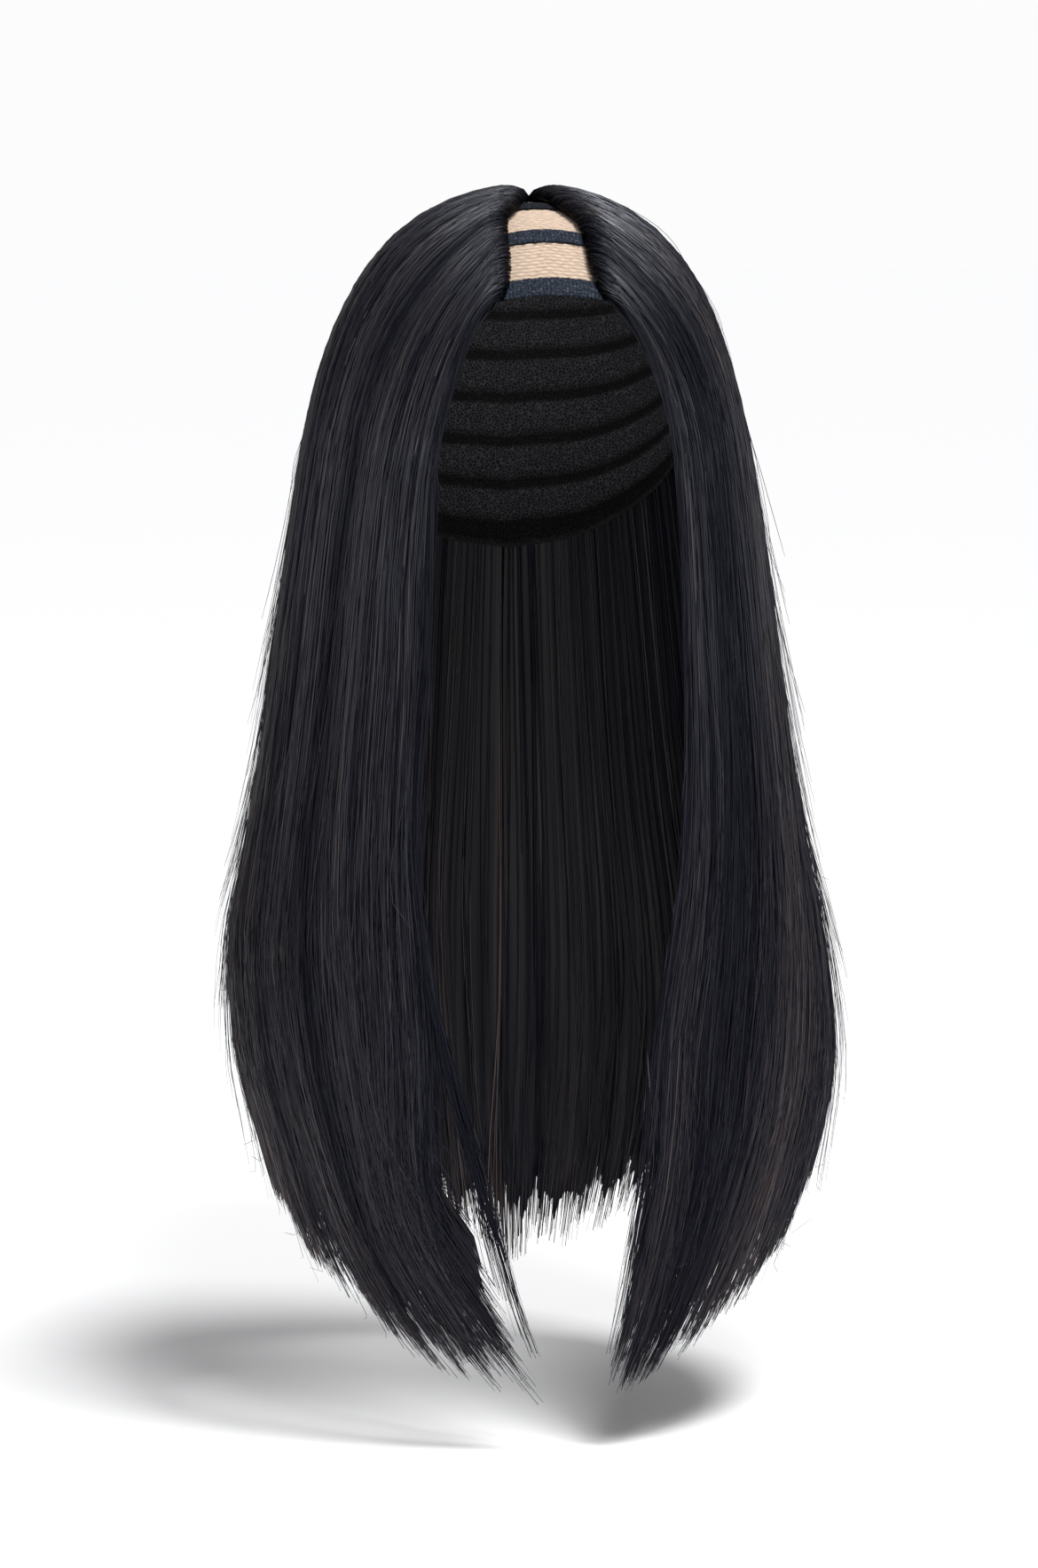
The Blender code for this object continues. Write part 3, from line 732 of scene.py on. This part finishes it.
WIDE_LOCKS, NARROW_LOCKS = 26, 70
SIDE_CORE_COLUMNS, SIDE_CORE_ROWS = 260, 18
BACK_CORE_COLUMNS, BACK_CORE_ROWS = 180, 16
SIDE_STRANDS, SIDE_TIPS, SIDE_FLYAWAYS = 1300, 1300, 420
BACK_STRANDS, BACK_TIPS, BACK_FLYAWAYS = 480, 780, 110
SIDE_RADIUS, BACK_RADIUS = 0.30 * MM, 0.38 * MM
TIP_RADIUS, FLYAWAY_RADIUS, TUFT_RADIUS = 0.21 * MM, 0.11 * MM, 0.12 * MM
TIP_SPREAD = 13 * MM
TUFT_COUNT = 90
LOOSE_RADIUS = 0.27 * MM
LOOSE_COUNT = {LEFT: 84, RIGHT: 44}
LOOSE_REACH = {LEFT: 8 * MM, RIGHT: 3.5 * MM}
EDGE_SWING = {LEFT: 0.054, RIGHT: 0.008}
TIP_SHORT_BY = {LEFT: 24 * MM, RIGHT: 10 * MM}
CORNER_COVER = {LEFT: 5.0 * MM, RIGHT: 3.5 * MM}
wander = {}
lock_cut = {}
lock_shade = {}
lock_pull = {}
lock_edges = {}
for side in (LEFT, RIGHT):
    wander[side] = (
        waves(WIDE_LOCKS + 3, (0.007, 0.004), (0.35, 0.8)),
        waves(NARROW_LOCKS + 3, (0.0020, 0.0013), (0.5, 1.1)),
    )
    lock_cut[side] = (rng.uniform(0, 1, WIDE_LOCKS + 2), rng.uniform(0, 1, NARROW_LOCKS + 2))
    lock_shade[side] = (rng.normal(0, 1, WIDE_LOCKS + 2), rng.normal(0, 1, NARROW_LOCKS + 2))
    lock_pull[side] = 0.9 * rng.uniform(0, 1, NARROW_LOCKS + 2) ** 1.4
    inner_edges = np.arange(1, NARROW_LOCKS) + rng.uniform(-0.48, 0.48, NARROW_LOCKS - 1)
    lock_edges[side] = np.concatenate([[0.0], inner_edges, [NARROW_LOCKS]]) / NARROW_LOCKS


def locks_of(side, round_at):
    round_at = np.clip(round_at, 0, 0.9999)
    wide = (round_at * WIDE_LOCKS).astype(int)
    narrow = np.searchsorted(lock_edges[side], round_at, side="right") - 1
    return wide, narrow


HEAD_STEPS = (0.0, 0.012, 0.034, 0.07, 0.12, 0.19, 0.28, 0.38, 0.49, 0.60, 0.72, 0.84, 0.97)
HANG_STEPS = (1.11, 1.24, 1.37, 1.49, 1.60, 1.70, 1.79, 1.87, 1.94, 2.0)


def edge_shift(side, place, t):
    """The face's edge swings back a little above the tips."""
    width = np.where(t < 1.88, 0.19, 0.09)
    return EDGE_SWING[side] * np.exp(-(((t - 1.88) / width) ** 2)) * np.clip(1 - place / 0.28, 0, 1)


def flow(start_at, t):
    """How far round a lock swings toward the face as it nears its tip."""
    share = np.clip(start_at / SPLIT_AT, 0, 1)
    return 0.060 * np.sin(np.pi * share) * smooth_step((t - 1.30) / 0.70) ** 1.3


def strand_lines(side, start_at, steps, cut, depth, own=0.0018, pull=1.0, lift=None, swing=None, inward=None):
    """Paths of strands that start at places round the head, with their outward normals."""
    count = len(start_at)
    t = steps
    if np.ndim(steps) == 1:
        number = np.arange(len(steps))
        inside = (number > 1) & (number < len(steps) - 1)
        t = np.interp(number + inside * rng.uniform(-0.5, 0.5, count)[:, None], number, steps)
    narrow = locks_of(side, start_at)[1]
    centre = 0.5 * (lock_edges[side][narrow] + lock_edges[side][narrow + 1])
    loose = smooth_step((t - 0.75) / 0.9)
    wide_wander, narrow_wander = wander[side]
    own_wander = waves(count, (own, own * 0.6), (0.7, 1.9))
    item = np.arange(count)[:, None]
    place = start_at[:, None] + between(wide_wander, np.clip(start_at, 0, 1)[:, None] * WIDE_LOCKS, t) * loose
    place = place + narrow_wander(narrow[:, None], t) * (0.25 + 0.75 * loose)
    stray = np.where(rng.random(count) < 0.08, 3.0, 1.0)[:, None]
    place = place + own_wander(item, t) * (0.35 + 0.65 * loose) * stray
    place = place - flow(start_at[:, None], t)
    near_tip = smooth_step((t - 1.58) / 0.42) ** 1.5
    place = place + ((centre - start_at) * lock_pull[side][narrow])[:, None] * pull * near_tip
    place = place + (rng.normal(0, 0.007, count) * (1 + 0.8 * (start_at > SPLIT_AT)))[:, None] * near_tip
    if swing is not None:
        place = place + swing
    if inward is None:
        place = place + edge_shift(side, place, t)
    place = np.where(place > 1, 2 - place, place)
    outer, normal, thick = hair_surface(np.clip(place, -0.02, 1), t, side, cut[:, None])
    weave = waves(count, (0.35 * MM, 0.25 * MM), (1.3, 2.7))(item, t)
    over_head = smooth_step(t / 0.2)
    low = np.where(t <= 1, np.maximum(thick - 0.25 * MM, 0), thick + 0.5 * MM)
    sunk = np.minimum(np.clip(depth[:, None] * over_head + weave * over_head, 0, None), low)
    points = outer - normal * sunk[..., None]
    at_root = np.clip(1 - t / 0.08, 0, 1) ** 1.5
    aside = rng.uniform(-0.6 * MM, 1.7 * MM, count)[:, None] * at_root
    bulge = rng.normal(0, 0.25 * MM, count)[:, None] * np.exp(-(((t - 0.07) / 0.05) ** 2))
    corner = CORNER_COVER[side] * np.exp(-np.clip(start_at, 0, 1) / 0.045)
    aside = aside + corner[:, None] * np.clip(1 - t / 0.17, 0, 1) ** 1.3
    points[..., 0] -= side * aside
    points = points + head_normal(points) * np.maximum(bulge, -0.4 * MM)[..., None]
    if lift is not None:
        points = points + normal * lift[..., None]
    if inward is not None:
        points[..., 0] -= side * inward
    return points, normal


def relief(side, start_at):
    """How far the strands between two locks sink below their middles."""
    narrow = locks_of(side, start_at)[1]
    lo, hi = lock_edges[side][narrow], lock_edges[side][narrow + 1]
    off = np.clip((start_at - 0.5 * (lo + hi)) / (0.5 * (hi - lo)), -1, 1)
    return 1.0 * MM * off**4


def shade_of(side, start_at, own=0.17):
    narrow = locks_of(side, start_at)[1]
    broad = np.interp(np.clip(start_at, 0, 1) * WIDE_LOCKS, np.arange(WIDE_LOCKS + 2), lock_shade[side][0])
    value = 0.41 + 0.12 * broad + 0.09 * lock_shade[side][1][narrow]
    # Painted shade: strands at the face's edge, where the hair turns inward, are made darker.
    value = value - 0.16 * np.exp(-start_at / 0.03)
    return np.clip(value + rng.normal(0, own, len(start_at)), 0.02, 0.98)


def tip_cut(side, start_at, spread):
    wide, narrow = locks_of(side, start_at)
    cut = 10 * MM * lock_cut[side][0][wide] + 14 * MM * lock_cut[side][1][narrow]
    cut = cut + np.abs(rng.normal(0, spread, len(start_at))) - 4 * MM
    cut = cut + TIP_SHORT_BY[side] * np.exp(-start_at / 0.05) * (rng.random(len(start_at)) < 0.8)
    layered = np.where(start_at < SPLIT_AT, 0.35, 0.15)
    cut = cut + (rng.random(len(start_at)) < layered) * np.abs(rng.normal(0, 32 * MM, len(start_at)))
    early = rng.random(len(start_at)) < 0.10
    return cut + early * rng.uniform(0, 110 * MM, len(start_at))


def spread_places(lo, hi, count):
    places = lo + (hi - lo) * (np.arange(count) + rng.random(count)) / count
    return rng.permutation(places)


def radius_along(count, steps, thick, tip=0.42, root_share=0.7):
    share = np.linspace(0, 1, steps)[None, :]
    size = thick * rng.uniform(0.7, 1.3, count)[:, None]
    swell = root_share + (1 - root_share) * smooth_step(share / 0.15)
    taper = 1 - (1 - tip) * smooth_step((share - 0.82) / 0.18)
    return size * swell * taper


CORE_CUT = 20 * MM
CORE_RIDGE = 1.0 * MM
CORE_SHORT_BY = {LEFT: 28 * MM, RIGHT: 12 * MM}


def build_core(name, parts, rows):
    """Solid ridged middle of the hair. Parts are (side, first place, last place)."""
    t = np.concatenate([[0.0, 0.012, 0.03, 0.06], np.linspace(0.1, 1.0, 15), np.linspace(1, 2, rows)[1:]])
    outer_all, inner_all, uv_all = [], [], []
    for side, first, last, count in parts:
        at = np.linspace(first, last, count)
        wide = locks_of(side, at)[0]
        grid_at = np.broadcast_to(at[:, None], (count, len(t)))
        grid_t = np.broadcast_to(t[None, :], (count, len(t)))
        phase = at[:, None] * 265
        sway = 1.4 * np.sin(phase / 7.0) + 0.5 * np.sin(5 * grid_t)
        wide_ridge = 0.5 + 0.5 * np.sin(2 * np.pi * phase / 2.9 + sway)
        thin_ridge = 0.5 + 0.5 * np.sin(2 * np.pi * phase / 1.31 + 2.0 * np.sin(phase / 3.1))
        ridge = 0.62 * wide_ridge + 0.38 * thin_ridge
        slit = 0.5 + 0.25 * np.cos(2 * np.pi * at * 21.3) + 0.25 * np.cos(2 * np.pi * at * 37.9 + 1.0)
        behind = at >= SPLIT_AT - 0.001
        cut = CORE_CUT + 10 * MM * lock_cut[side][0][wide] + 12 * MM * slit
        cut = cut - 9 * MM * smooth_step((at - SPLIT_AT) / 0.1)
        cut = cut + np.abs(rng.normal(0, 1, count)) * np.where(behind, 8 * MM, 14 * MM)
        cut = cut + CORE_SHORT_BY[side] * np.exp(-at / 0.06)
        grid_at = grid_at - flow(grid_at, grid_t)
        grid_at = grid_at + edge_shift(side, grid_at, grid_t)
        outer, normal, thick = hair_surface(grid_at, grid_t, side, cut[:, None])
        hung = smooth_step((grid_t - 0.9) / 1.0)
        sink = (0.9 + 1.2 * hung + 3.2 * smooth_step((grid_t - 1.5) / 0.5)) * MM
        sink = relief(side, at)[:, None] + sink
        sink = sink + CORE_RIDGE * ridge * (0.45 + 0.55 * smooth_step(grid_t / 0.5))
        sink = sink * smooth_step(grid_t / 0.10)
        room = np.maximum(thick - 0.35 * MM, 0)
        sink = np.minimum(sink, room)
        inner_ridge = 0.6 * MM * ridge * hung
        outer_all.append(outer - normal * sink[..., None])
        inner_all.append(outer - normal * (np.maximum(thick - inner_ridge, sink + 0.3 * MM))[..., None])
        uv_all.append(np.stack([grid_at * 0.45 + (0.5 if side > 0 else 0.02), grid_t / 2.05 + 0.01], axis=-1))
    outer = np.concatenate(outer_all)
    inner = np.concatenate(inner_all)
    uv = np.concatenate(uv_all)
    flip = parts[0][0] > 0
    return closed_sheet(name, outer, inner, CORE, uv, flip=flip)


def build_strands(name, parts, thick, spread, steps, deep_share=0.16):
    paths, normals, radii, shades = [], [], [], []
    for side, first, last, count in parts:
        start_at = spread_places(first, last, count)
        cut = tip_cut(side, start_at, spread)
        depth = np.abs(rng.normal(0, 1.5 * MM, count))
        deep = rng.random(count) < deep_share
        depth = np.where(deep, 30 * MM, depth + relief(side, start_at))
        points, normal = strand_lines(side, start_at, np.array(steps), cut, depth)
        paths.append(points)
        normals.append(normal)
        radii.append(radius_along(count, len(steps), thick))
        shades.append(shade_of(side, start_at))
        if first > 0:
            continue
        loose = LOOSE_COUNT[side]
        start_at = spread_places(0.0, 0.012, loose)
        cut = rng.uniform(22 * MM, 72 * MM, loose)
        t = np.broadcast_to(np.array(steps), (loose, len(steps)))
        apart = rng.choice([0.45, 1.0], loose, p=[0.35, 0.65]) * rng.normal(1.0, 0.07, loose)
        aside = LOOSE_REACH[side] * apart[:, None] * smooth_step((t - 1.55) / 0.4)
        depth = np.abs(rng.normal(1 * MM, 1.5 * MM, loose))
        points, normal = strand_lines(side, start_at, np.array(steps), cut, depth, pull=0.0, inward=aside)
        paths.append(points)
        normals.append(normal)
        radii.append(radius_along(loose, len(steps), LOOSE_RADIUS))
        shades.append(shade_of(side, start_at) * 0.6)
    return tubes(
        name,
        np.concatenate(paths),
        np.concatenate(normals),
        np.concatenate(radii),
        np.concatenate(shades),
        STRANDS,
    )


def build_wisps(name, parts):
    """Tip strands from half way down, and flyaways that stand off the outline."""
    paths, normals, radii, shades = [], [], [], []
    steps = 9
    share = np.linspace(0, 1, steps)
    for side, first, last, tips, flyaways in parts:
        start_at = spread_places(first, last, tips)
        begin = rng.uniform(1.35, 1.60, tips)[:, None]
        t = begin + (2.0 - begin) * share[None, :]
        cut = tip_cut(side, start_at, 16 * MM)
        depth = np.abs(rng.normal(0, 3.5 * MM, tips))
        points, normal = strand_lines(side, start_at, t, cut, depth, own=0.003)
        paths.append(points)
        normals.append(normal)
        radii.append(radius_along(tips, steps, TIP_RADIUS, root_share=0.2))
        shades.append(shade_of(side, start_at))

        start_at = spread_places(first, last, flyaways)
        begin = (0.85 + 0.95 * rng.random(flyaways) ** 0.7)[:, None]
        over = rng.random(flyaways)[:, None] < 0.10
        begin = np.where(over, rng.uniform(0.05, 0.85, flyaways)[:, None], begin)
        length = rng.uniform(0.18, 0.6, flyaways)[:, None]
        t = np.minimum(begin + length * share[None, :], 2.0)
        cut = tip_cut(side, start_at, 25 * MM)
        off = rng.uniform(1.5 * MM, 8.5 * MM, flyaways)[:, None] * share[None, :] ** 1.6
        off = np.where(over, 0.45 * off * 4 * share * (1 - share) + 0.15 * off, off)
        swing = rng.normal(0, 0.018, flyaways)[:, None] * share[None, :] ** 1.5
        points, normal = strand_lines(
            side, start_at, t, cut, 0.3 * MM + 0 * start_at, own=0.002, pull=0.0, lift=off, swing=swing
        )
        paths.append(points)
        normals.append(normal)
        radii.append(radius_along(flyaways, steps, FLYAWAY_RADIUS, tip=0.5, root_share=0.6))
        shades.append(shade_of(side, start_at))
        if first > 0:
            continue

        tufts = TUFT_COUNT
        start_at = 0.01 + 0.24 * rng.random(tufts)
        t = rng.uniform(0.06, 0.17, tufts)[:, None] * share[None, :]
        arch = np.sin(np.pi * share[None, :] ** 0.8)
        aside = rng.uniform(0.4 * MM, 3.0 * MM, tufts)[:, None] * arch
        off = rng.uniform(0.2 * MM, 1.0 * MM, tufts)[:, None] * arch
        swing = rng.normal(0.0, 0.012, tufts)[:, None] * share[None, :]
        none = 0 * start_at
        points, normal = strand_lines(
            side, start_at, t, none, none, own=0.001, pull=0.0, lift=off, swing=swing, inward=aside
        )
        paths.append(points)
        normals.append(normal)
        radii.append(radius_along(tufts, steps, TUFT_RADIUS, tip=0.4, root_share=0.8))
        shades.append(shade_of(side, start_at) * 0.7)
    return tubes(
        name,
        np.concatenate(paths),
        np.concatenate(normals),
        np.concatenate(radii),
        np.concatenate(shades),
        STRANDS,
    )


def build_hair():
    steps = HEAD_STEPS + HANG_STEPS
    few = 1.0
    for side, node_name in ((LEFT, "hair_left"), (RIGHT, "hair_right")):
        core = build_core(f"{node_name}_core", [(side, 0.0, SPLIT_AT, SIDE_CORE_COLUMNS)], SIDE_CORE_ROWS)
        finish_piece(core, "black_hair", node_name)
        part = [(side, 0.0, SPLIT_AT + 0.012, int(SIDE_STRANDS * few))]
        strands = build_strands(f"{node_name}_strands", part, SIDE_RADIUS, TIP_SPREAD, steps)
        finish_piece(strands, "black_hair")
        part = [(side, 0.0, SPLIT_AT + 0.01, int(SIDE_TIPS * few), int(SIDE_FLYAWAYS * few))]
        wisps = build_wisps(f"{node_name}_wisps", part)
        finish_piece(wisps, "black_hair")
    both = [(LEFT, SPLIT_AT, 1.0, BACK_CORE_COLUMNS), (RIGHT, 1.0, SPLIT_AT, BACK_CORE_COLUMNS)]
    core = build_core("hair_back_core", both, BACK_CORE_ROWS)
    finish_piece(core, "black_hair", "hair_back")
    both = [(side, SPLIT_AT - 0.012, 1.0, int(BACK_STRANDS * few)) for side in (LEFT, RIGHT)]
    strands = build_strands("hair_back_strands", both, BACK_RADIUS, TIP_SPREAD, steps, deep_share=0.25)
    finish_piece(strands, "black_hair")
    tips, flyaways = int(BACK_TIPS * few), int(BACK_FLYAWAYS * few)
    both = [(side, SPLIT_AT, 1.0, tips, flyaways) for side in (LEFT, RIGHT)]
    wisps = build_wisps("hair_back_wisps", both)
    finish_piece(wisps, "black_hair")


build_hair()

# Floor, light and camera.
FLOOR_AT = -0.5385
FLOOR_HALF = 14.0
SUN_FROM = (0.30, -0.20, 1.0)
SUN_STRENGTH, SUN_DEGREES = 2.6, 15
LIGHT_AT, LIGHT_TO = (0.25, -1.0, 1.15), (0, 0, -0.05)
LIGHT_SIZE, LIGHT_WATTS = 0.6, 17
CAMERA_AZIMUTH, CAMERA_ELEVATION = -7, 8
CAMERA_DISTANCE, VIEW_HEIGHT = 2.2, 0.698
TARGET_ACROSS, TARGET_HEIGHT = -0.0051, -0.2561
SENSOR_HEIGHT = 36


def build_floor():
    corners = ((-1, -1), (1, -1), (1, 1), (-1, 1))
    verts = np.array([(x * FLOOR_HALF, y * FLOOR_HALF, FLOOR_AT) for x, y in corners])
    material, _, shader = new_material("pale_floor")
    shader.inputs["Base Color"].default_value = (0.785, 0.785, 0.79, 1)
    shader.inputs["Roughness"].default_value = 0.9
    shader.inputs["Specular IOR Level"].default_value = 0.1
    floor = mesh_object("floor", verts, [np.array([[0, 1, 2, 3]])], material)


def area_light(name, place, target, size, energy):
    light = bpy.data.lights.new(name, "AREA")
    light.shape = "DISK"
    light.size = size
    light.energy = energy
    obj = bpy.data.objects.new(name, light)
    bpy.context.scene.collection.objects.link(obj)
    obj.location = place
    obj.rotation_euler = (Vector(place) - Vector(target)).to_track_quat("Z", "Y").to_euler()
    return obj


def build_light():
    world = bpy.data.worlds.new("studio")
    world.use_nodes = True
    tree = world.node_tree
    background = tree.nodes["Background"]
    background.inputs["Color"].default_value = (0.985, 0.988, 1.0, 1)
    background.inputs["Strength"].default_value = 0.50
    backdrop = node(tree, "ShaderNodeBackground", Strength=1.0)
    backdrop.inputs["Color"].default_value = (0.975, 0.975, 0.982, 1)
    dim = node(tree, "ShaderNodeBackground", Strength=0.22)
    dim.inputs["Color"].default_value = (0.95, 0.97, 1.0, 1)
    reflected = tree.nodes.new("ShaderNodeMixShader")
    path = tree.nodes.new("ShaderNodeLightPath")
    choose = tree.nodes.new("ShaderNodeMixShader")
    tree.links.new(path.outputs["Is Camera Ray"], choose.inputs[0])
    tree.links.new(path.outputs["Is Glossy Ray"], reflected.inputs[0])
    tree.links.new(background.outputs[0], reflected.inputs[1])
    tree.links.new(dim.outputs[0], reflected.inputs[2])
    tree.links.new(reflected.outputs[0], choose.inputs[1])
    tree.links.new(backdrop.outputs[0], choose.inputs[2])
    tree.links.new(choose.outputs[0], tree.nodes["World Output"].inputs["Surface"])
    bpy.context.scene.world = world
    sun = bpy.data.lights.new("sun", "SUN")
    sun.energy = SUN_STRENGTH
    sun.angle = math.radians(SUN_DEGREES)
    obj = bpy.data.objects.new("sun", sun)
    bpy.context.scene.collection.objects.link(obj)
    obj.rotation_euler = Vector(SUN_FROM).to_track_quat("Z", "Y").to_euler()
    area_light("front_top", LIGHT_AT, LIGHT_TO, LIGHT_SIZE, LIGHT_WATTS)


def build_camera():
    azimuth, elevation = math.radians(CAMERA_AZIMUTH), math.radians(CAMERA_ELEVATION)
    along = Vector((math.cos(azimuth), math.sin(azimuth), 0))
    target = along * TARGET_ACROSS + Vector((0, 0, TARGET_HEIGHT))
    level = Vector((math.sin(azimuth), -math.cos(azimuth), 0))
    back = level * math.cos(elevation) + Vector((0, 0, math.sin(elevation)))
    data = bpy.data.cameras.new("camera")
    data.sensor_fit = "VERTICAL"
    data.sensor_height = SENSOR_HEIGHT
    data.lens = SENSOR_HEIGHT * CAMERA_DISTANCE / VIEW_HEIGHT
    camera = bpy.data.objects.new("camera", data)
    bpy.context.scene.collection.objects.link(camera)
    camera.location = target + back * CAMERA_DISTANCE
    camera.rotation_euler = back.to_track_quat("Z", "Y").to_euler()
    bpy.context.scene.camera = camera


build_floor()
build_light()
build_camera()
bpy.context.scene.view_settings.view_transform = "Standard"
